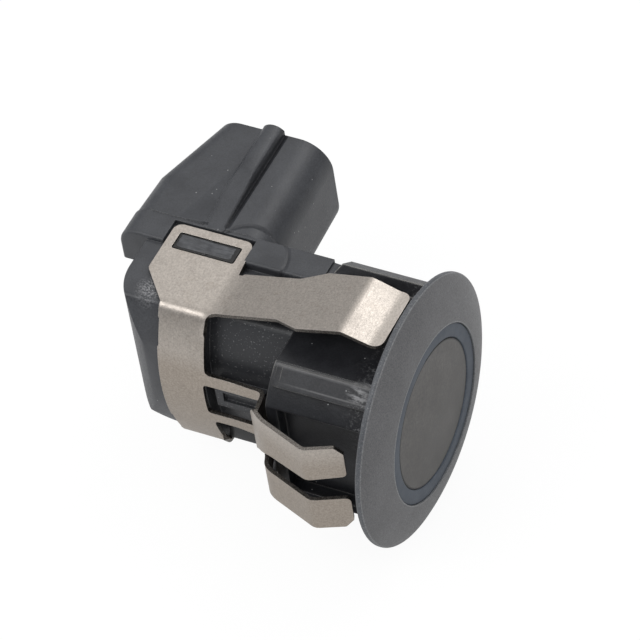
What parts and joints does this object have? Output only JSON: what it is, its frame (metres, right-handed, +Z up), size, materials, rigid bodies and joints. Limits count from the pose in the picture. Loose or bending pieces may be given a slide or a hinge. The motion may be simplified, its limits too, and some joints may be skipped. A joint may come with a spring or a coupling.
{
  "type": "parking sensor",
  "caption": "Bumper parking sensor with a round painted trim flange, a soft-mounted sounding face, a sheet-steel snap clip and a side connector socket",
  "frame": {"origin": "centre of the flange's back face, on the sensing axis", "axes": "+X is the sensing axis, out of the painted face; +Y is the way the connector socket opens; +Z is up, square to both"},
  "size_m": [0.0335, 0.033, 0.026],
  "materials": {
    "painted_plastic": "satin grey paint over dark moulded plastic",
    "dark_plastic": "dark grey moulded plastic, finely textured",
    "spring_steel": "bare rolled spring steel, satin",
    "coated_aluminium": "satin grey coating on the sounding face",
    "silicone": "soft bluish dark grey silicone",
    "piezo_ceramic": "matt fired ceramic",
    "foam": "dark closed-cell foam",
    "filler": "soft cast filler",
    "carrier_plastic": "black moulded plastic",
    "tinned_wire": "tinned solid wire",
    "board_laminate": "green coated laminate",
    "tinned_brass": "tin plated pin",
    "copper_wire": "varnished copper winding",
    "ferrite": "matt dark ferrite",
    "capacitor_can": "drawn can",
    "chip_plastic": "moulded chip case",
    "chip_ceramic": "small fired chips",
    "seal_rubber": "black seal"
  },
  "bodies": {
    "root": {"front_housing": "painted_plastic", "rear_housing": "dark_plastic", "rear_cover": "dark_plastic", "retaining_clip": "spring_steel", "transducer_cup": "coated_aluminium", "decoupling_ring": "silicone", "piezo_disc": "piezo_ceramic", "damping_foam": "foam", "sealing_compound": "filler", "contact_carrier": "carrier_plastic", "piezo_lead": "tinned_wire", "ground_lead": "tinned_wire", "circuit_board": "board_laminate", "terminal_pin_1": "tinned_brass", "terminal_pin_2": "tinned_brass", "terminal_pin_3": "tinned_brass", "transformer_bobbin": "carrier_plastic", "transformer_winding": "copper_wire", "transformer_core": "ferrite", "storage_capacitor": "capacitor_can", "control_chip": "chip_plastic", "chip_capacitors": "chip_ceramic", "chip_resistors": "chip_ceramic", "joint_seal": "seal_rubber"}
  },
  "joints": []
}
